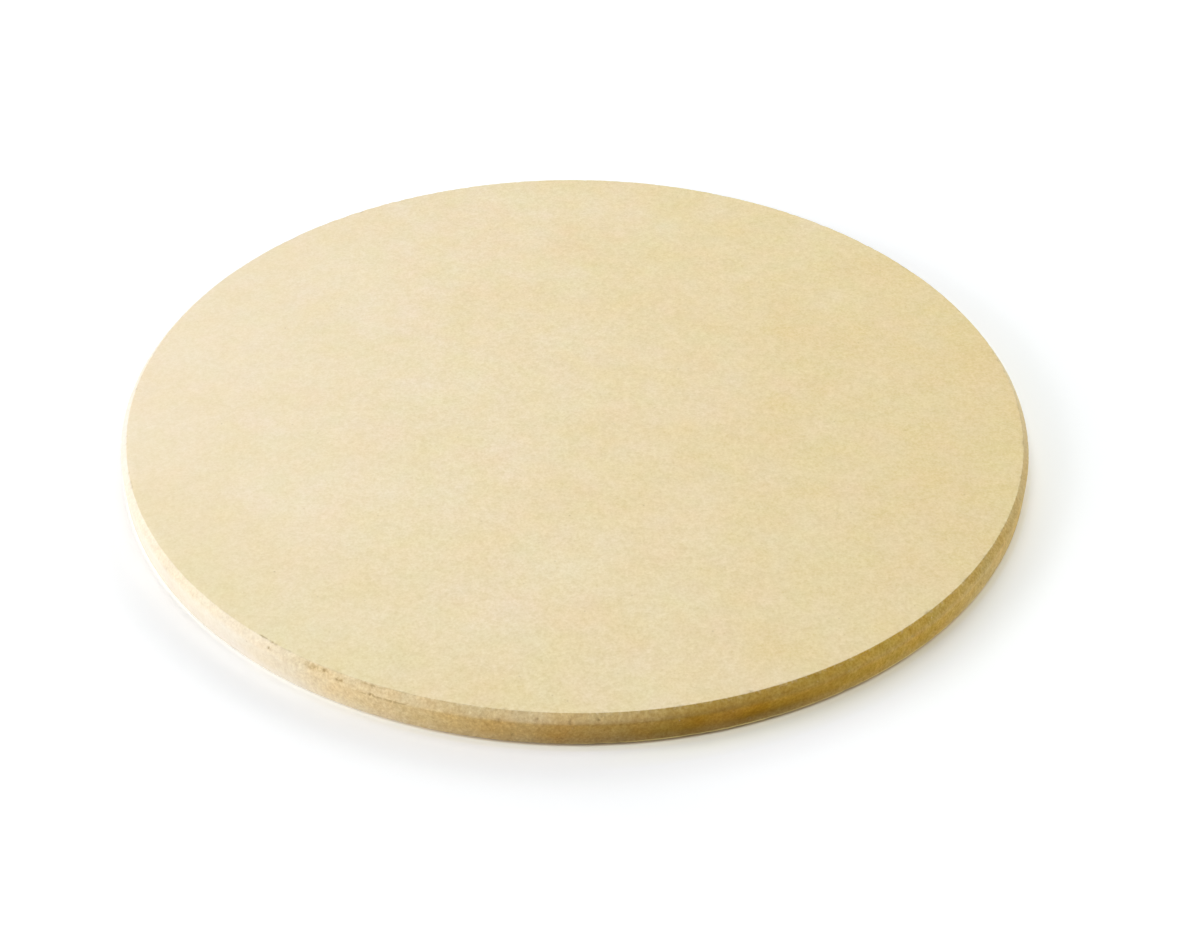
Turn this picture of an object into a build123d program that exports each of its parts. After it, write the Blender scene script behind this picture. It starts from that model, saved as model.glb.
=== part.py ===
from build123d import *
import os

# Round baking stone of pressed and fired cordierite, made in one piece.
# +Z is up and the origin is the centre of the underside. Lengths are in millimetres.

# The disc
stone_diameter = 360.0
stone_thickness = 13.0

# The bevel round the baking face
bevel_width = 2.4
bevel_drop = 2.7

# The smaller bevel round the underside
foot_bevel_width = 1.2
foot_bevel_rise = 1.2

# The rounding of each edge: bevel to baking face, bevel to rim wall, and both edges of the foot bevel
arris_radius = 0.3
shoulder_radius = 1.0
foot_radius = 0.3

stone_radius = stone_diameter / 2
baking_face_radius = stone_radius - bevel_width
underside_radius = stone_radius - foot_bevel_width
shoulder_height = stone_thickness - bevel_drop

# Half of the stone's section, from the centre of the underside round the rim to the centre of the
# baking face, turned once round the disc's axis
with BuildPart() as baking_stone:
    with BuildSketch(Plane.XZ) as half_section:
        with BuildLine() as outline:
            skin = FilletPolyline(
                (0, 0),
                (underside_radius, 0),
                (stone_radius, foot_bevel_rise),
                (stone_radius, shoulder_height),
                (baking_face_radius, stone_thickness),
                (0, stone_thickness),
                radius=[foot_radius, foot_radius, shoulder_radius, arris_radius],
            )
            Line(skin @ 1, skin @ 0)
        make_face()
    revolve(axis=Axis.Z)

baking_stone.part.label = "baking_stone"

os.makedirs("parts", exist_ok=True)
export_step(baking_stone.part, "parts/baking_stone.step")
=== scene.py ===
import math
import random

import bpy
import numpy as np
from mathutils import Matrix, Vector, noise


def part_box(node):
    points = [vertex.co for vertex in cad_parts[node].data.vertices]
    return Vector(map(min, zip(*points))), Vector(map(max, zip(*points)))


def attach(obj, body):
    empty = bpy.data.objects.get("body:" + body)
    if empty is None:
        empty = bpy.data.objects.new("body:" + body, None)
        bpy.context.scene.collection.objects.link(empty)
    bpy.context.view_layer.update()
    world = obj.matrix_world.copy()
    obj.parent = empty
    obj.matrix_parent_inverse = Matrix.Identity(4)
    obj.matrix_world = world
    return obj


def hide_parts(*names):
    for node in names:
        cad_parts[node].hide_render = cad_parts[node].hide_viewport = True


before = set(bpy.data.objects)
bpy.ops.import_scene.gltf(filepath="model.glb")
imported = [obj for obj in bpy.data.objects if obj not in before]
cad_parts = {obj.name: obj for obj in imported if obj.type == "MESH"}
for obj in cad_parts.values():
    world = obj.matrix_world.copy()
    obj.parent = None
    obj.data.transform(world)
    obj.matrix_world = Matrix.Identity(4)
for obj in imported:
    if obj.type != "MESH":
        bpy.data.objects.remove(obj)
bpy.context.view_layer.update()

# A round baking stone of pressed, unglazed cordierite, lying flat on a white table.
# Lengths are in metres: MM turns a size in millimetres into metres. Angles round the stone are
# in degrees from +X, so the front is at -90. Colours are linear red, green, blue and alpha. Each
# noise has a layer, a number of its own that gives it another pattern.
MM = 0.001

# The view: a 54 mm lens in front and above, aimed a little in front of the stone's centre
lens_mm = 54.0
sensor_width_mm = 36.0
camera_place = Vector((0.0, -590.4 * MM, 436.1 * MM))
camera_aim = Vector((9.4 * MM, -29.6 * MM, 0.0))
camera_roll = math.radians(0.93)

# The stone's overall size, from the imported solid, and the sizes of its section
box_low, box_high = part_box("baking_stone")
stone_radius = min(-box_low.x, -box_low.y, box_high.x, box_high.y)
stone_thickness = box_high.z - box_low.z
bevel_width = 2.4 * MM
bevel_drop = 2.7 * MM
foot_bevel_width = 1.2 * MM
foot_bevel_rise = 1.2 * MM
arris_radius = 0.3 * MM
shoulder_radius = 1.0 * MM
foot_radius = 0.3 * MM

# The bevel is widest in front, because the upper die sat a little towards the back. Its width and
# the softness of the shoulder also ripple round the rim, as (wavelength, layer).
bevel_shift = 0.22 * MM
bevel_widest = math.radians(-98)
bevel_ripple = 0.12 * MM
bevel_ripple_noise = (55 * MM, 3.1)
shoulder_softening = 0.45 * MM
shoulder_noise = (38 * MM, 7.7)

# The skin's mesh: columns round the rim, steps along each stretch of the section, and rings on the
# faces of the disc as segments and gaps from the stone's edge
columns = 2048
arris_steps = 3
bevel_steps = 7
shoulder_steps = 4
wall_steps = 12
foot_arc_steps = 2
foot_bevel_steps = 2
edge_gaps = [gap * MM for gap in (3.2, 2.0, 1.2, 0.5)]
inner_rings = [
    (1024, [gap * MM for gap in (6.0, 9.0, 12.5)]),
    (512, [gap * MM for gap in (17.0, 22.0, 28.0)]),
    (256, [gap * MM for gap in (36.0, 46.0, 58.0)]),
    (128, [gap * MM for gap in (72.0, 90.0)]),
    (64, [gap * MM for gap in (110.0, 132.0)]),
    (32, [150.0 * MM]),
    (16, [166.0 * MM]),
]

# Each octave of the skin's noises is half as wide and half as high as the one before it
octave_fall = 1.0
octave_step = 2.0

# The bake map: the width of each disc face's circle, the strips of the rim and the gap round them
map_circle = 0.584
map_strips = 4
map_margin = 0.004

# The rim's sandy relief: its mean depth, its noises as (wavelength, layer, octaves, depth), and the
# stretch past each end of the rim over which it fades out. The rim's own colours fade in over
# rim_fade, and the direction of cuts turns over about cut_turning_reach at each edge.
relief_mean = 0.02 * MM
relief_noises = [
    (1.5 * MM, 1.5, 2, 0.05 * MM),
    (6.0 * MM, 2.5, 2, 0.035 * MM),
    (26.0 * MM, 3.5, 1, 0.03 * MM),
]
relief_fade = 1.6 * MM
rim_fade = 0.25 * MM
cut_turning_reach = 1.1 * MM

# The crumbling of the edges: its depth, where its noise starts to bite, the noise as (wavelength,
# layer, octaves), and the share and reach of each edge
crumble_depth = 0.32 * MM
crumble_start = 0.05
crumble_noise = (3.4 * MM, 4.5, 2)
wide_crumble_noise = (11.0 * MM, 5.5)
wide_crumble_share = 0.6
arris_at = 0.15 * MM
arris_reach = 0.7 * MM
shoulder_wear = (0.5, 1.1 * MM)
foot_wear = (0.8, 0.7 * MM)
sole_wear = (0.6, 0.7 * MM)

# A cut looks worn from this depth on, and fully so when it is deeper by this much. The chips that
# the photograph shows look more worn than their depth.
worn_from = 0.06 * MM
worn_span = 0.34 * MM
seen_wear = 1.5

# Chips that the photograph shows, as (angle, distance down the section from the baking face's
# edge, length round the rim, height along the section, depth) in degrees and millimetres. All but
# the last two are the flaked stretch at the front left.
seen_chips = [
    (-126.7, -0.1, 6.4, 0.8, 0.10),
    (-125.6, 0.1, 1.6, 1.0, 0.28),
    (-125.4, 2.2, 2.7, 1.3, 0.16),
    (-119.6, 1.5, 8.0, 2.4, 0.12),
    (-118.0, 1.1, 2.4, 1.1, 0.35),
    (-116.0, 2.4, 3.4, 0.9, 0.45),
    (-112.3, 0.7, 11.5, 0.8, 0.12),
    (-112.1, 0.7, 1.8, 0.9, 0.22),
    (-110.6, 3.8, 21.0, 0.8, 0.14),
    (-112.0, 3.6, 2.6, 0.9, 0.32),
    (-87.5, 2.4, 1.3, 1.1, 0.45),
    (-71.2, 10.6, 1.8, 1.3, 0.30),
]

# Chips drawn by chance on the four edges, and pits between them, as ranges in millimetres. They
# stay out of the angles of seen_stretch, where the photograph shows the rim's own.
chip_seed = 11
chips_on_edges = (26, 12, 18, 14)
arris_chips_at = 0.1 * MM
chip_wander = (-0.4, 0.4)
chip_lengths = (1.4, 5.5)
chip_heights = (0.9, 1.9)
chip_depth_range = (0.12, 0.34)
pit_count = 90
pits_from = 0.6
pit_widths = (1.1, 1.8)
pit_depth_range = (0.12, 0.30)
seen_stretch = (-178, -104)

# The shape of every chip: the noise that makes it ragged as (wavelength, layer, octaves), how far
# that moves its outline and its floor, and the power that rounds its bowl
chip_noise = (2.2 * MM, 40.5, 2)
ragged_outline = 0.7
ragged_floor = 0.5
bowl_power = 0.6

# The front right side of the rim, which faces away from the lamps, is painted ochre: partly the
# rim's own deeper colour, partly painted shade. The share of ochre grows from nothing where the
# cosine of the angle from its middle reaches the edge value. It is less near the foot, where that
# paler colour paints the light thrown up onto the foot from the table.
ochre_shade_angle = -65
ochre_shade_edge = 0.42
foot_paleness = 0.15

# The amber fades towards the foot and follows the waves most, and the lower wall is painted a little
# darker all round, as painted shade near the table. The waves are in all three tones, from noises as
# (wavelength, layer, octaves).
amber_foot_fade = 0.6
amber_waves = 6
lower_shade = 0.08
wave_share = 0.06
wave_noises = [(30 * MM, 21.1, 1), (11 * MM, 22.2, 2)]

# Marks round the rim as (tone, zone of the section, angle, width in degrees, share). A few are the
# rim's own colour; most paint light and shade: more ochre, amber and grey where the rim lies in
# shade, and paler stretches that are painted highlights, as on the shoulder and the foot at the
# front right. A mark with a share below 0 takes some of the tone away.
rim_shade_and_tone_marks = [
    ("ochre_shade", "bevel", -94, 15, -0.26),
    ("ochre_shade", "bevel", -141, 20, 0.18),
    ("ochre_shade", "bevel", -25, 22, 0.07),
    ("ochre_shade", "wall", -12, 13, 0.2),
    ("ochre_shade", "wall", -31, 7, -0.12),
    # A painted highlight: the shoulder paler at the front right
    ("ochre_shade", "shoulder", -45, 20, -0.16),
    ("ochre_shade", "lowest", -65, 9, -0.14),
    ("ochre_shade", "mid_bevel", -119.6, 2.2, 0.10),
    # Painted shade: deeper amber where the front wall is darkest
    ("amber", "below_bevel", -80, 32, 0.22),
    ("amber", "below_bevel", -91, 8, 0.55),
    ("amber", "mid_wall", -71.5, 6, 0.9),
    # The grey rows paint shade, most of it low on the front wall and on the front bevel
    ("painted_shade", "deepening_wall", -81, 19, 0.49),
    ("painted_shade", "wall", 2, 13, 0.4),
    ("painted_shade", "wall", -121, 8, -0.12),
    ("painted_shade", "low_wall", -69, 5.5, 0.4),
    ("painted_shade", "end_of_bevel", -78, 16, 0.35),
    ("painted_shade", "bevel", -73, 16, 0.62),
    ("painted_shade", "bevel", -100, 13, 0.18),
    ("painted_shade", "bevel", -28, 34, 0.45),
]

# The finish's colours
face_pale = (0.865, 0.748, 0.542, 1.0)
face_warm = (0.774, 0.634, 0.343, 1.0)
rim_pale = (0.805, 0.745, 0.652, 1.0)
rim_warm = (0.78, 0.66, 0.40, 1.0)
# The next two colours are the rim's ochre side, partly painted shade
rim_ochre = (0.70, 0.455, 0.075, 1.0)
rim_amber = (0.72, 0.39, 0.020, 1.0)
# The grey of painted shade on the rim
shade_grey = (0.50, 0.49, 0.54, 1.0)
olive = (0.965, 0.97, 0.90, 1.0)
dust = (0.86, 0.76, 0.53, 1.0)
speck_dark = (0.42, 0.30, 0.15, 1.0)
speck_light = (0.93, 0.86, 0.70, 1.0)
chip_brown = (0.35, 0.235, 0.09, 1.0)
# The pale colour of a painted highlight along the foot
foot_highlight = (0.93, 0.79, 0.34, 1.0)

# How far one layer moves a texture, and the part of a side's width within which it is full
layer_step = (1.7, 0.9, 1.3)
side_core = 0.4

# The finish's textures, each as (wavelength, layer, detail) and the two noise values that become 0
# and 1. The first three are wide, the next three are the size of a coin, and the rest are fine.
textures = {
    "clouds": ((48 * MM, 1.0, 2.0), (0.33, 0.67)),
    "bloom": ((34 * MM, 17.0, 1.0), (0.35, 0.65)),
    "patches": ((23 * MM, 2.0, 3.0), (0.33, 0.67)),
    "blush": ((14 * MM, 14.0, 2.0), (0.3, 0.7)),
    "tinge": ((12 * MM, 16.0, 2.0), (0.3, 0.7)),
    "warmth": ((11 * MM, 9.0, 2.0), (0.3, 0.7)),
    "stains": ((3.5 * MM, 13.0, 2.0), (0.3, 0.7)),
    "sand": ((2.2 * MM, 15.0, 1.0), (0.3, 0.7)),
}
grain_texture = (0.95 * MM, 4.0, 2.0, 0.65)
grain_ends = (0.25, 0.75)

# How far each texture lowers or raises red, green and blue: on the baking face, on the pale and the
# ochre side of the rim, where the grain is coarser, and all over
face_tints = {
    "bloom": (0.005, -0.009, -0.004),
    "blush": (0.006, 0.008, 0.050),
    "warmth": (0.014, 0.005, 0.006),
    "tinge": (0.004, -0.008, 0.005),
    "sand": (0.028, 0.036, 0.068),
    "grain": (0.058, 0.075, 0.146),
}
rim_tints = {
    "warmth": ((0.025, -0.005, -0.050), (0.035, -0.010, -0.120)),
    "blush": ((0.010, 0.015, 0.030), (0.010, 0.015, 0.050)),
    "stains": ((0.015, 0.022, 0.035), (0.025, 0.040, 0.090)),
    "sand": ((0.040, 0.055, 0.080), (0.063, 0.090, 0.215)),
    "grain": ((0.110, 0.140, 0.190), (0.180, 0.270, 0.580)),
}
clouds_tint = (0.006, 0.010, 0.030)
patches_tint = (0.005, 0.011, 0.040)

# Ramps as (value, value, share at the first, share at the second): the face's tints are weaker at
# its left, and the rim's tints and relief are weaker where it is pale
lively_by_x = (-170 * MM, -40 * MM, 0.6, 1.0)
rough_by_ochre_shade = (0.0, 0.5, 0.3, 1.0)

# The greener front left of the face, and the pale line along the foot at the front right, a painted
# highlight of the table's light, each side as (angle, width), and that line's heights and
# unevenness as ramps
olive_side = (-122, 50)
foot_highlight_side = (-57, 37)
foot_highlight_top = (1.9 * MM, 1.6 * MM)
foot_highlight_bottom = (0.6 * MM, 0.9 * MM)
foot_highlight_by_patches = (0.2, 0.8, 0.7, 1.0)

# Specks in the clay as (spacing, layer, size in cells, share of the cells, colour)
specks = [
    (5.5 * MM, 5.0, 0.09, 0.35, speck_dark),
    (2.9 * MM, 6.0, 0.12, 0.30, speck_light),
]
speck_core = 0.4
speck_strength = 0.4

# Pale crumbs on the arris and dark brown in the cuts, each as a texture and its ramp
crumb_texture = (1.3 * MM, 10.0, 1.0)
crumb_ramp = (0.5, 0.7, 0.0, 0.35)
broken_texture = (1.1 * MM, 11.0, 1.0)
broken_ramp = (0.32, 0.52, 0.0, 0.7)

# The finish's bumps in millimetres: pits in some of the cells, and grain and coarse lumps, whose
# heights grow from the first where the surface is smooth to the second where it is rough
pit_cells = (2.1 * MM, 7.0)
pit_ramp = (0.22, 0.05)
pit_cell_share = 0.4
pit_height = -0.06
coarse_texture = (1.9 * MM, 12.0, 1.0)
coarse_heights = (0.02, 0.20)
grain_heights = (0.04, 0.09)
roughness_by_grain = (0.98, 0.86)
specular_level = 0.2

# The table: its half width, its height just under the stone, and its tones as seen, as its glow, as
# its glow under the stone's edge, which is painted warm light, and as what it sends on to the stone
table_half = 4.0
table_height = -0.02 * MM
table_seen = (0.945, 0.950, 0.960, 1.0)
table_glow_tone = (0.90, 0.98, 1.0, 1.0)
table_foot_tone = (1.0, 0.95, 0.86, 1.0)
table_bounce = (0.67, 0.63, 0.57, 1.0)

# Patches on the table as (angle, width, radius within which it is full, radius where it is gone)
# and a tone or a strength of glow, with the radii in stone radii. The tones are painted shadows of
# the stone and of its warm bounce, and the glows are painted light.
table_painted_shadows = [
    (-115, 32, 1.12, 1.30, (0.915, 0.920, 0.930, 1.0)),
    (-60, 27, 1.02, 1.06, (0.874, 0.879, 0.810, 1.0)),
    (-15, 45, 1.03, 1.22, (0.938, 0.952, 0.928, 1.0)),
    (-55, 75, 1.003, 1.015, (0.940, 0.920, 0.800, 1.0)),
    (-62, 55, 0.996, 1.001, (0.840, 0.700, 0.480, 1.0)),
]
table_glows = [
    (-108, 30, 1.0, 1.035, 0.105),
    (15, 60, 1.10, 1.25, 0.055),
    (-60, 60, 0.998, 1.008, 0.08),
    (180, 85, 1.0, 1.0055, 0.22),
    (180, 75, 1.012, 1.022, 0.03),
]

# One more such patch of painted light, seen under the stone's edge at the left
table_foot_glow = (-140, 42, 0.999, 1.003, 0.15)

# Rings of the table as (radius, radius, share at the first, share at the second): the glow all
# round, which is less near the stone and so paints its shadow there, where any of it starts under
# the stone's edge, where its own tone starts, and the far table that is plain white to the eye
table_near_glow = (1.0, 1.12, 0.0, 0.11)
table_far_glow = (1.15, 1.6, 0.0, 0.06)
table_glow_start = (0.994, 1.0, 0.0, 1.0)
table_tone_start = (0.998, 1.004, 0.0, 1.0)
table_far_white = (2.5, 5.0, 0.0, 1.0)

# Lamps as (name, angle round the stone, elevation, width, height, power in watts)
lamp_distance = 1.6
lamps = [
    ("left_lamp", 203, 18, 1.2, 0.8, 24.5),
    ("right_lamp", 5, 20, 1.0, 0.8, 8.9),
    ("low_right_lamp", 335, 10, 1.2, 0.6, 3.4),
    ("back_lamp", 80, 30, 1.4, 0.8, 9.5),
    ("top_lamp", 90, 89, 1.4, 1.4, 14.5),
]


def make_camera():
    """The photograph's viewpoint."""
    data = bpy.data.cameras.new("view_camera")
    data.lens = lens_mm
    data.sensor_width = sensor_width_mm
    camera = bpy.data.objects.new("view_camera", data)
    look = (camera_aim - camera_place).to_track_quat("-Z", "Y").to_matrix()
    roll = Matrix.Rotation(camera_roll, 3, "Z")
    camera.matrix_world = Matrix.Translation(camera_place) @ (look @ roll).to_4x4()
    bpy.context.scene.collection.objects.link(camera)
    bpy.context.scene.camera = camera


def ring_noise(angles, wavelength, layer):
    """Smooth noise from -1 to 1 round the rim, which closes on itself."""
    scale = stone_radius / wavelength
    return np.array(
        [noise.noise(Vector((math.cos(a) * scale, math.sin(a) * scale, layer))) for a in angles]
    )


def space_noise(places, wavelength, layer, octaves=1):
    """Smooth noise of about -1 to 1 at each place."""
    shift = Vector((0.0, 0.0, layer))
    flat = (places.reshape(-1, 3) / wavelength).tolist()
    values = [
        noise.fractal(Vector(place) + shift, octave_fall, octave_step, octaves) for place in flat
    ]
    return np.array(values).reshape(places.shape[:-1])


def unit(vectors):
    return vectors / np.linalg.norm(vectors, axis=-1, keepdims=True)


def outward(travel):
    """The outward normal of a stretch of the section that runs from the baking face down."""
    return np.stack([-travel[..., 1], travel[..., 0]], -1)


def rounded_corner(before, corner, after, radius, steps):
    """Rows of places and normals round one corner of the section, one column for each angle."""
    arriving, leaving = unit(corner - before), unit(after - corner)
    turn = np.arccos(np.clip((arriving * leaving).sum(-1), -1, 1))
    tangent = radius * np.tan(turn / 2)
    first_normal = outward(arriving)
    centre = corner - arriving * tangent[:, None] - first_normal * radius[:, None]
    places, normals = [], []
    for step in range(steps + 1):
        swing = turn * step / steps
        normal = first_normal * np.cos(swing)[:, None] + arriving * np.sin(swing)[:, None]
        places.append(centre + normal * radius[:, None])
        normals.append(normal)
    return places, normals


def straight(start, end, normal, steps):
    """The rows between two corners, without the corners' own."""
    places = [start + (end - start) * step / steps for step in range(1, steps)]
    return places, [normal] * (steps - 1)


def section_rows(angles):
    """Places (radius, height) and normals of the rim's rows, from the baking face to the underside."""
    ripple = ring_noise(angles, *bevel_ripple_noise)
    width = bevel_width + bevel_shift * np.cos(angles - bevel_widest) + bevel_ripple * ripple
    drop = bevel_drop * width / bevel_width
    one = np.ones_like(angles)

    def point(radius, height):
        return np.stack([radius * one, height * one], -1)

    middle_top = point(0.0, stone_thickness)
    arris = point(stone_radius - width, stone_thickness)
    shoulder = point(stone_radius, stone_thickness - drop)
    foot = point(stone_radius, foot_bevel_rise)
    sole = point(stone_radius - foot_bevel_width, 0.0)
    middle_low = point(0.0, 0.0)
    soft = shoulder_radius + shoulder_softening * ring_noise(angles, *shoulder_noise)
    arcs = [
        rounded_corner(middle_top, arris, shoulder, arris_radius * one, arris_steps),
        rounded_corner(arris, shoulder, foot, soft, shoulder_steps),
        rounded_corner(shoulder, foot, sole, foot_radius * one, foot_arc_steps),
        rounded_corner(foot, sole, middle_low, foot_radius * one, foot_arc_steps),
    ]
    places, normals = arcs[0]
    for (to_places, to_normals), steps in zip(arcs[1:], (bevel_steps, wall_steps, foot_bevel_steps)):
        between, flat_normals = straight(places[-1], to_places[0], normals[-1], steps)
        places = places + between + to_places
        normals = normals + flat_normals + to_normals
    inward = [point(gap, 0.0) for gap in edge_gaps]
    top_rows = [places[0] - step for step in inward]
    low_rows = [places[-1] - step for step in reversed(inward)]
    up, down = point(0.0, 1.0), point(0.0, -1.0)
    places = np.array(top_rows + places + low_rows)
    normals = np.array([up] * len(top_rows) + normals + [down] * len(low_rows))
    return places, normals


def section_distances(places):
    """How far down the section each row lies from the edge of the baking face."""
    middle = places.mean(axis=1)
    steps = np.linalg.norm(np.diff(middle, axis=0), axis=1)
    travelled = np.concatenate([[0.0], np.cumsum(steps)])
    return travelled - travelled[len(edge_gaps)]


def section_marks(distances):
    """Where the rim's edges lie down the section: shoulder, foot and the edge of the underside."""
    rim_end = distances[-len(edge_gaps) - 1]
    shoulder_at = math.hypot(bevel_width, bevel_drop)
    foot_at = rim_end - math.hypot(foot_bevel_width, foot_bevel_rise)
    return shoulder_at, foot_at, rim_end


def carving_directions(normals, distances):
    """Outward directions that turn gently past the edges, so that no cut folds the skin over."""
    gaps = (distances[:, None] - distances[None, :]) / cut_turning_reach
    weights = np.exp(-gaps * gaps) * np.gradient(distances)[None, :]
    blended = np.einsum("ij,jck->ick", weights, normals)
    return unit(blended)


def near(distances, place, reach):
    """1 in a row at that place on the section, falling to 0 within about twice the reach."""
    return np.exp(-(((distances - place) / reach) ** 2))[:, None]


def steps_down(distances, start, end):
    """0 in the rows above start, 1 in those below end, and a ramp in those between."""
    return np.clip((distances - start) / (end - start), 0.0, 1.0)[:, None]


def turn_from(angles, centre):
    """The angles measured from that one, in radians from -pi to pi."""
    return (angles - math.radians(centre) + math.pi) % (2 * math.pi) - math.pi


def round_rim(angles, centre, width):
    """1 in the columns at that angle, falling to 0 within about twice the width."""
    return np.exp(-((turn_from(angles, centre) / math.radians(width)) ** 2))[None, :]


def chip_depths(chips, angles, distances, places):
    """The depth of the deepest chip at each row and column."""
    raggedness = space_noise(places, *chip_noise)
    depths = np.zeros(places.shape[:2])
    for angle, down, length, height, depth in chips:
        across = stone_radius * turn_from(angles, angle) / (length * MM / 2)
        upright = (distances - down * MM) / (height * MM / 2)
        reach = (across**2)[None, :] + (upright**2)[:, None]
        bowl = np.clip(1.0 - reach * (1.0 + ragged_outline * raggedness), 0.0, None) ** bowl_power
        depths = np.maximum(depths, depth * MM * bowl * (1.0 + ragged_floor * raggedness))
    return depths


def scattered_chips(edges, rim_end):
    """Small chips on the edges and pits in the rim, all round but for the front left."""
    draw = random.Random(chip_seed)
    chips = []
    for edge, count in zip(edges, chips_on_edges):
        for _ in range(count):
            length = draw.uniform(*chip_lengths)
            angle = draw.uniform(-180, 180)
            down = edge / MM + draw.uniform(*chip_wander)
            height = draw.uniform(*chip_heights)
            chips.append((angle, down, length, height, draw.uniform(*chip_depth_range)))
    for _ in range(pit_count):
        width = draw.uniform(*pit_widths)
        down = draw.uniform(pits_from, rim_end / MM)
        angle = draw.uniform(-180, 180)
        chips.append((angle, down, width, width, draw.uniform(*pit_depth_range)))
    seen_from, seen_to = seen_stretch
    return [chip for chip in chips if not seen_from < chip[0] < seen_to]


def rim_relief(angles, band, distances):
    """How deep the skin is carved, and the worn, arris and rim shares, at each row and column."""
    shoulder_at, foot_at, rim_end = section_marks(distances)
    on_rim = steps_down(distances, -relief_fade, 0.0)
    on_rim = on_rim * (1.0 - steps_down(distances, rim_end, rim_end + relief_fade))
    noises = [depth * space_noise(band, *settings) for *settings, depth in relief_noises]
    rough = on_rim * np.clip(sum(noises, relief_mean), 0.0, None)

    arris = near(distances, arris_at, arris_reach)
    edge = arris
    for place, (share, reach) in (
        (shoulder_at, shoulder_wear),
        (foot_at, foot_wear),
        (rim_end, sole_wear),
    ):
        edge = edge + share * near(distances, place, reach)
    crumbs = space_noise(band, *crumble_noise)
    crumbs = crumbs + wide_crumble_share * space_noise(band, *wide_crumble_noise)
    crumble = crumble_depth * edge * np.clip(crumbs - crumble_start, 0.0, 1.0)

    edges = (arris_chips_at, shoulder_at, foot_at, rim_end)
    seen = chip_depths(seen_chips, angles, distances, band)
    scattered = chip_depths(scattered_chips(edges, rim_end), angles, distances, band)
    chipped = np.maximum(seen, scattered)
    worn = (crumble + chipped + seen_wear * seen - worn_from) / worn_span
    rim = steps_down(distances, 0.0, rim_fade)
    rim = rim * (1.0 - steps_down(distances, rim_end - rim_fade, rim_end))
    return rough + np.maximum(crumble, chipped), np.clip(worn, 0.0, 1.0), arris, rim


def rim_zones(distances):
    """The zones of the section by name, each as its share of every row."""
    shoulder_at, foot_at, _ = section_marks(distances)
    wall = steps_down(distances, shoulder_at - 0.6 * MM, shoulder_at + 0.6 * MM)
    lower = steps_down(distances, shoulder_at + 1.0 * MM, foot_at)
    return {
        "bevel": 1.0 - wall,
        "mid_bevel": near(distances, 1.3 * MM, 1.2 * MM),
        "end_of_bevel": near(distances, shoulder_at - 0.3 * MM, 0.8 * MM),
        "below_bevel": steps_down(distances, shoulder_at - 1.6 * MM, shoulder_at + 0.4 * MM),
        "shoulder": near(distances, shoulder_at + 0.4 * MM, 1.2 * MM),
        "wall": wall,
        "deepening_wall": wall * (1.2 + lower),
        "mid_wall": near(distances, shoulder_at + 3.0 * MM, 4.0 * MM),
        "low_wall": near(distances, shoulder_at + 5.8 * MM, 1.9 * MM),
        "lower": lower,
        "lowest": steps_down(distances, foot_at - 4.0 * MM, foot_at),
    }


def rim_tones_and_shade(angles, band, distances):
    """The rim's tones at each row and column: shares of ochre, of amber and of grey, partly its own
    colour and mostly painted shade.
    """
    zones = rim_zones(distances)
    waves = sum(wave_share * space_noise(band, *settings) for settings in wave_noises)
    turn = angles - math.radians(ochre_shade_angle)
    ochre_shade = ((np.cos(turn) - ochre_shade_edge) / (1.0 - ochre_shade_edge))[None, :] + waves
    tones = {
        "ochre_shade": np.clip(ochre_shade, 0.0, 1.0) - foot_paleness * zones["lowest"],
        "amber": np.zeros_like(waves),
        "painted_shade": lower_shade * zones["lower"] + waves,
    }
    for tone, zone, centre, width, share in rim_shade_and_tone_marks:
        tones[tone] = tones[tone] + share * zones[zone] * round_rim(angles, centre, width)
    fade = 1.0 - amber_foot_fade * zones["lowest"]
    tones["amber"] = tones["amber"] * fade * (1.0 + amber_waves * waves)
    return {tone: np.clip(share, 0.0, 1.0) for tone, share in tones.items()}


def turned(face, flip):
    return face[::-1] if flip else face


def ring_faces(outer, inner, flip):
    """Faces between two rings, the inner one with as many or half as many segments."""
    share = len(outer) // len(inner)
    faces = []
    for i in range(len(inner)):
        a, b = outer[i * share], outer[(i + 1) * share % len(outer)]
        p, q = inner[i], inner[(i + 1) % len(inner)]
        if share == 1:
            faces.append(turned([a, b, q, p], flip))
        else:
            middle = outer[i * share + 1]
            faces.append(turned([a, middle, p], flip))
            faces.append(turned([middle, q, p], flip))
            faces.append(turned([middle, b, q], flip))
    return faces


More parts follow.
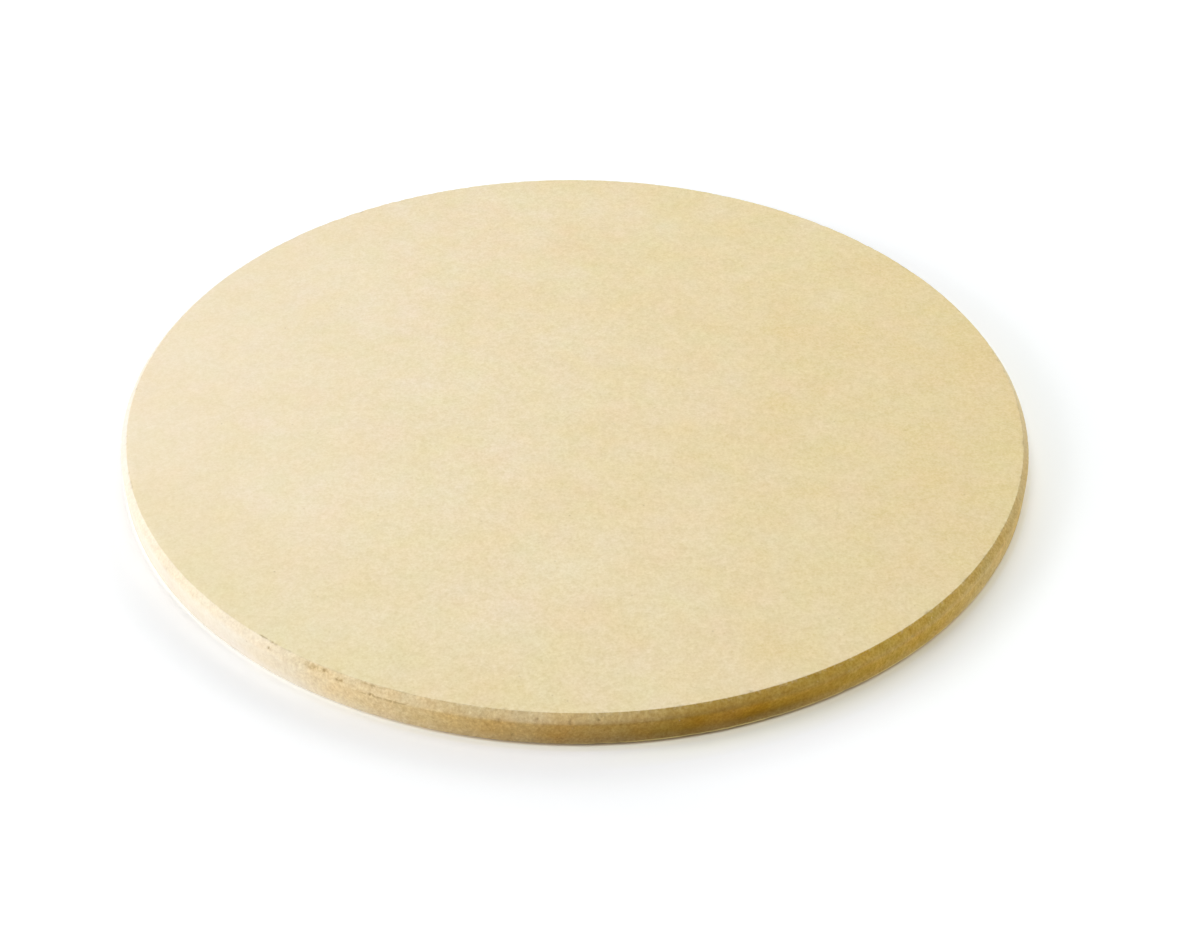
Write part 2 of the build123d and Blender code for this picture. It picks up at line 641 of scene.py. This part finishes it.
def stone_mesh():
    """The whole skin as one closed mesh, with the shares that its material reads as attributes."""
    angles = np.arange(columns) * 2 * math.pi / columns
    places, normals = section_rows(angles)
    distances = section_distances(places)
    spokes = np.stack([np.cos(angles), np.sin(angles)], -1)
    band = np.concatenate([places[..., :1] * spokes, places[..., 1:]], -1)
    depth, worn, arris, rim = rim_relief(angles, band, distances)
    shares = {"worn": worn, "arris": arris, "rim": rim, **rim_tones_and_shade(angles, band, distances)}
    carved = places - carving_directions(normals, distances) * depth[..., None]
    carved[..., 0] = np.clip(carved[..., 0], 0.0, stone_radius)
    carved[..., 1] = np.clip(carved[..., 1], 0.0, stone_thickness)
    band = np.concatenate([carved[..., :1] * spokes, carved[..., 1:]], -1)
    vertices = [band.reshape(-1, 3)]
    rows = len(band)
    column = np.arange(columns)
    after = (column + 1) % columns
    faces = []
    for row in range(rows - 1):
        here, below = row * columns, (row + 1) * columns
        faces += np.stack([here + column, below + column, below + after, here + after], -1).tolist()
    count = rows * columns
    for height, outer, flip in ((stone_thickness, 0, False), (0.0, rows - 1, True)):
        edge = list(range(outer * columns, (outer + 1) * columns))
        for segments, gaps in inner_rings:
            turn = np.arange(segments) * 2 * math.pi / segments
            for gap in gaps:
                radius = stone_radius - gap
                ring = [radius * np.cos(turn), radius * np.sin(turn), np.full(segments, height)]
                vertices.append(np.stack(ring, -1))
                inner = list(range(count, count + segments))
                faces += ring_faces(edge, inner, flip)
                edge = inner
                count += segments
        vertices.append(np.array([[0.0, 0.0, height]]))
        faces += [
            turned([edge[i], edge[(i + 1) % len(edge)], count], flip) for i in range(len(edge))
        ]
        count += 1
    mesh = bpy.data.meshes.new("baking_stone_skin")
    mesh.from_pydata(np.concatenate(vertices).tolist(), [], faces)
    mesh.validate()
    mesh.polygons.foreach_set("use_smooth", [True] * len(mesh.polygons))
    for name, share in shares.items():
        values = np.zeros(count)
        values[: worn.size] = np.broadcast_to(share, worn.shape).ravel()
        mesh.attributes.new(name, "FLOAT", "POINT").data.foreach_set("value", values)
    lay_out(mesh, distances, rows)
    return mesh


def lay_out(mesh, distances, rows):
    """A map of the skin for baking: each face of the disc is a circle, and the rim is four strips."""
    scale = map_circle / (2 * stone_radius)
    places = np.zeros(len(mesh.vertices) * 3)
    mesh.vertices.foreach_get("co", places)
    corners = np.zeros(len(mesh.loops), dtype=int)
    mesh.loops.foreach_get("vertex_index", corners)
    sizes = np.zeros(len(mesh.polygons), dtype=int)
    mesh.polygons.foreach_get("loop_total", sizes)

    first, last = len(edge_gaps), rows - 1 - len(edge_gaps)
    band_faces = (rows - 1) * columns
    is_top = np.zeros(len(sizes), dtype=bool)
    is_top[: first * columns] = True
    is_top[band_faces : (band_faces + len(sizes)) // 2] = True
    top = np.repeat(is_top, sizes)[:, None]
    flat = places.reshape(-1, 3)[corners, :2] * scale
    middle = map_circle / 2
    spots = np.where(top, middle + flat, 1.0 - middle + flat * [-1.0, 1.0])

    row, column = np.divmod(np.arange(first * columns, last * columns), columns)
    strip, along = np.divmod(column, columns // map_strips)
    step = 2 * math.pi * stone_radius * scale / columns
    left = 1.0 - map_margin - (columns // map_strips - along) * step
    strip_height = (distances[last] - distances[first]) * scale + map_margin
    base = map_margin + strip * strip_height
    high = base + (distances[last] - distances[row]) * scale
    low = base + (distances[last] - distances[row + 1]) * scale
    quads = np.array([(left, high), (left, low), (left + step, low), (left + step, high)])
    spots[first * columns * 4 : last * columns * 4] = quads.transpose(2, 0, 1).reshape(-1, 2)
    mesh.uv_layers.new(name="OFBake").data.foreach_set("uv", spots.ravel())


class Shading:
    """Builds one material's nodes: each call adds a node and gives back its output socket."""

    def __init__(self, name):
        self.material = bpy.data.materials.new(name)
        self.material.use_nodes = True
        self.tree = self.material.node_tree
        self.tree.nodes.clear()
        self.place = self.add("ShaderNodeTexCoord").outputs["Object"]

    def add(self, kind, inputs=(), **settings):
        """A node of that kind. Its inputs are linked from sockets or set to plain values."""
        node = self.tree.nodes.new(kind)
        for key, value in settings.items():
            setattr(node, key, value)
        for key, value in dict(inputs).items():
            if isinstance(value, bpy.types.NodeSocket):
                self.tree.links.new(value, node.inputs[key])
            else:
                node.inputs[key].default_value = value
        return node

    def attribute(self, name):
        return self.add("ShaderNodeAttribute", attribute_name=name).outputs["Fac"]

    def shifted(self, layer):
        """The place moved far away by the layer's step, so that no two textures look alike."""
        step = tuple(layer * part for part in layer_step)
        return self.add("ShaderNodeVectorMath", {0: self.place, 1: step}).outputs[0]

    def noise(self, wavelength, layer, detail=0.0, roughness=0.5):
        """Noise from about 0.2 to 0.8 with that wavelength."""
        inputs = {
            "Vector": self.shifted(layer),
            "Scale": 1.0 / wavelength,
            "Detail": detail,
            "Roughness": roughness,
        }
        return self.add("ShaderNodeTexNoise", inputs).outputs["Fac"]

    def cells(self, spacing, layer):
        """A scattered point for each cell: the distance to it, in cells, and a value of its own."""
        inputs = {"Vector": self.shifted(layer), "Scale": 1.0 / spacing}
        node = self.add("ShaderNodeTexVoronoi", inputs)
        own = self.add("ShaderNodeSeparateColor", {"Color": node.outputs["Color"]})
        return node.outputs["Distance"], own.outputs["Red"]

    def ramp(self, value, low, high, to_low=0.0, to_high=1.0):
        inputs = {1: low, 2: high, 3: to_low, 4: to_high}
        return self.add("ShaderNodeMapRange", {0: value, **inputs}).outputs["Result"]

    def maths(self, operation, *values):
        return self.add("ShaderNodeMath", enumerate(values), operation=operation).outputs[0]

    def product(self, first, *others):
        for value in others:
            first = self.maths("MULTIPLY", first, value)
        return first

    def mix(self, share, first, second, blend="MIX"):
        inputs = {0: share, 6: first, 7: second}
        node = self.add("ShaderNodeMix", inputs, data_type="RGBA", blend_type=blend)
        return node.outputs[2]

    def towards(self, angle, width):
        """1 at the stone's edge in that direction, falling to 0 at that many degrees to each side."""
        direction = (math.cos(math.radians(angle)), math.sin(math.radians(angle)), 0.0)
        inputs = {0: self.place, 1: direction}
        ahead = self.add("ShaderNodeVectorMath", inputs, operation="DOT_PRODUCT").outputs["Value"]
        none = stone_radius * math.cos(math.radians(width))
        full = stone_radius * math.cos(math.radians(side_core * width))
        return self.ramp(ahead, none, full)

    def tint(self, colour, share, reach, strength=1.0):
        """The colour with red, green and blue each lowered or raised by up to its part of reach."""
        low = tuple(1.0 - part for part in reach) + (1.0,)
        high = tuple(1.0 + part for part in reach) + (1.0,)
        return self.mix(strength, colour, self.mix(share, low, high), "MULTIPLY")


def paint_foot_highlight(s, colour, height, rim, patches):
    """The foot's edge painted pale at the front right, a painted highlight of the table's light."""
    share = s.product(
        s.ramp(height, *foot_highlight_top),
        s.towards(*foot_highlight_side),
        s.ramp(height, *foot_highlight_bottom),
        rim,
        s.ramp(patches, *foot_highlight_by_patches),
    )
    return s.mix(share, colour, foot_highlight)


def add_specks(s, colour):
    """Dark and light specks of the clay, in some of the cells."""
    for spacing, layer, size, kept, paint in specks:
        distance, own = s.cells(spacing, layer)
        spot = s.ramp(distance, size, size * speck_core)
        colour = s.mix(s.product(spot, s.ramp(own, 0.0, kept, speck_strength, 0.0)), colour, paint)
    return colour


def wear_edges(s, colour):
    """Pale crumbs along the arris, and dark brown where the edges are cut."""
    crumbs = s.product(s.attribute("arris"), s.ramp(s.noise(*crumb_texture), *crumb_ramp))
    colour = s.mix(crumbs, colour, dust)
    broken = s.product(s.attribute("worn"), s.ramp(s.noise(*broken_texture), *broken_ramp))
    return s.mix(broken, colour, chip_brown)


def bumps(s, grain, rough_rim):
    """The normal with grain, pits and coarse lumps, which are highest where the rim is rough."""
    distance, own = s.cells(*pit_cells)
    pits = s.product(s.ramp(distance, *pit_ramp), s.maths("LESS_THAN", own, pit_cell_share))
    coarse = s.product(s.noise(*coarse_texture), s.ramp(rough_rim, 0.0, 1.0, *coarse_heights))
    height = s.maths("MULTIPLY_ADD", grain, s.ramp(rough_rim, 0.0, 1.0, *grain_heights), coarse)
    height = s.maths("MULTIPLY_ADD", pits, pit_height, height)
    bump = s.add("ShaderNodeBump", {"Height": height, "Distance": MM, "Strength": 1.0})
    return bump.outputs["Normal"]


def fired_cordierite():
    """Matte cream ceramic: soft kiln clouds, sandy grain, specks, and an ochre, rougher rim in part
    painted shade.
    """
    s = Shading("fired_cordierite")
    axes = s.add("ShaderNodeSeparateXYZ", {"Vector": s.place}).outputs
    rim, ochre_shade = s.attribute("rim"), s.attribute("ochre_shade")
    shares = {
        name: s.ramp(s.noise(*texture), *ends) for name, (texture, ends) in textures.items()
    }
    grain = s.noise(*grain_texture)
    shares["grain"] = s.ramp(grain, *grain_ends)
    drift = s.ramp(axes["X"], -stone_radius, stone_radius)
    lively = s.ramp(axes["X"], *lively_by_x)
    rough = s.ramp(ochre_shade, *rough_by_ochre_shade)

    # The baking face, greener at its front left
    face = s.mix(drift, face_pale, face_warm)
    for name, reach in face_tints.items():
        face = s.tint(face, shares[name], reach, lively)
    face = s.mix(s.towards(*olive_side), face, s.mix(1.0, face, olive, "MULTIPLY"))

    # The rim's pale and ochre sides, the ochre in part painted shade, with painted grey shade on both
    pale = s.mix(drift, rim_pale, rim_warm)
    ochre = s.mix(s.attribute("amber"), rim_ochre, rim_amber)
    for name, (pale_reach, ochre_reach) in rim_tints.items():
        pale = s.tint(pale, shares[name], pale_reach, rough)
        ochre = s.tint(ochre, shares[name], ochre_reach)
    side = s.mix(ochre_shade, pale, ochre)
    side = s.mix(s.attribute("painted_shade"), side, s.mix(1.0, side, shade_grey, "MULTIPLY"))

    # The whole skin, with its clouds, a painted highlight along the foot, specks and wear
    colour = s.mix(rim, face, side)
    colour = s.tint(colour, shares["clouds"], clouds_tint)
    colour = s.tint(colour, shares["patches"], patches_tint, lively)
    colour = paint_foot_highlight(s, colour, axes["Z"], rim, shares["patches"])
    colour = add_specks(s, colour)
    colour = wear_edges(s, colour)

    inputs = {
        "Base Color": colour,
        "Roughness": s.ramp(grain, *grain_ends, *roughness_by_grain),
        "Normal": bumps(s, grain, s.product(rim, rough)),
        "Specular IOR Level": specular_level,
    }
    shader = s.add("ShaderNodeBsdfPrincipled", inputs)
    s.add("ShaderNodeOutputMaterial", {"Surface": shader.outputs[0]})
    return s.material


def make_stone():
    stone = bpy.data.objects.new("baking_stone_skin", stone_mesh())
    bpy.context.scene.collection.objects.link(stone)
    stone.data.materials.append(fired_cordierite())
    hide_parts("baking_stone")
    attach(stone, "root")


def white_table():
    """White to the eye and in reflections, with painted shadows and patches of painted light near the
    stone, and a darker, warmer surface as a source of light.
    """
    s = Shading("white_table")
    path = s.add("ShaderNodeLightPath").outputs
    away = s.add("ShaderNodeVectorMath", {0: s.place}, operation="LENGTH").outputs["Value"]

    def by_radius(start, end, low, high):
        """low out to start and high from end on, both in stone radii from the middle."""
        return s.ramp(away, stone_radius * start, stone_radius * end, low, high)

    def patch(angle, width, full, gone, most):
        """A patch in that direction: most out to one radius, nothing from the other on."""
        return s.product(s.towards(angle, width), by_radius(full, gone, most, 0.0))

    tone = table_seen
    # Painted shadows of the stone, and its warm bounce, on the table
    for *place, shade in table_painted_shadows:
        tone = s.mix(patch(*place, 1.0), tone, shade)
    strength = s.maths("ADD", by_radius(*table_near_glow), by_radius(*table_far_glow))
    # Patches of painted light on the table
    for glow in table_glows:
        strength = s.maths("ADD", strength, patch(*glow))
    strength = s.product(strength, by_radius(*table_glow_start))
    strength = s.maths("ADD", strength, patch(*table_foot_glow))
    far_white = s.product(by_radius(*table_far_white), path["Is Camera Ray"])
    strength = s.maths("ADD", strength, far_white)

    glow_tone = s.mix(by_radius(*table_tone_start), table_foot_tone, table_glow_tone)
    seen = s.add("ShaderNodeBsdfDiffuse", {"Color": tone})
    glow = s.add("ShaderNodeEmission", {"Color": glow_tone, "Strength": strength})
    bright = s.add("ShaderNodeAddShader", {0: seen.outputs[0], 1: glow.outputs[0]})
    bounce = s.add("ShaderNodeBsdfDiffuse", {"Color": table_bounce})
    direct = s.maths("MAXIMUM", path["Is Camera Ray"], path["Is Glossy Ray"])
    mix = s.add("ShaderNodeMixShader", {0: direct, 1: bounce.outputs[0], 2: bright.outputs[0]})
    s.add("ShaderNodeOutputMaterial", {"Surface": mix.outputs[0]})
    return s.material


def make_floor():
    corners = [
        (x * table_half, y * table_half, table_height)
        for x, y in ((-1, -1), (1, -1), (1, 1), (-1, 1))
    ]
    mesh = bpy.data.meshes.new("table_top")
    mesh.from_pydata(corners, [], [(0, 1, 2, 3)])
    floor = bpy.data.objects.new("table_top", mesh)
    bpy.context.scene.collection.objects.link(floor)
    mesh.materials.append(white_table())


def make_lamp(name, angle, elevation, width, height, power):
    """A soft lamp that shines on the stone's middle."""
    data = bpy.data.lights.new(name, "AREA")
    data.shape = "RECTANGLE"
    data.size = width
    data.size_y = height
    data.energy = power
    lamp = bpy.data.objects.new(name, data)
    across, up = math.radians(angle), math.radians(elevation)
    level = math.cos(up)
    direction = Vector((level * math.cos(across), level * math.sin(across), math.sin(up)))
    aimed = (-direction).to_track_quat("-Z", "Y").to_matrix().to_4x4()
    lamp.matrix_world = Matrix.Translation(lamp_distance * direction) @ aimed
    bpy.context.scene.collection.objects.link(lamp)


def make_world():
    """White to the eye, and no light on the stone."""
    world = bpy.data.worlds.new("studio")
    bpy.context.scene.world = world
    world.use_nodes = True
    tree = world.node_tree
    background = tree.nodes["Background"]
    background.inputs["Color"].default_value = (1.0, 1.0, 1.0, 1.0)
    path = tree.nodes.new("ShaderNodeLightPath")
    tree.links.new(path.outputs["Is Camera Ray"], background.inputs["Strength"])


make_camera()
make_world()
for lamp in lamps:
    make_lamp(*lamp)
make_floor()
make_stone()
bpy.context.scene.view_settings.view_transform = "Standard"
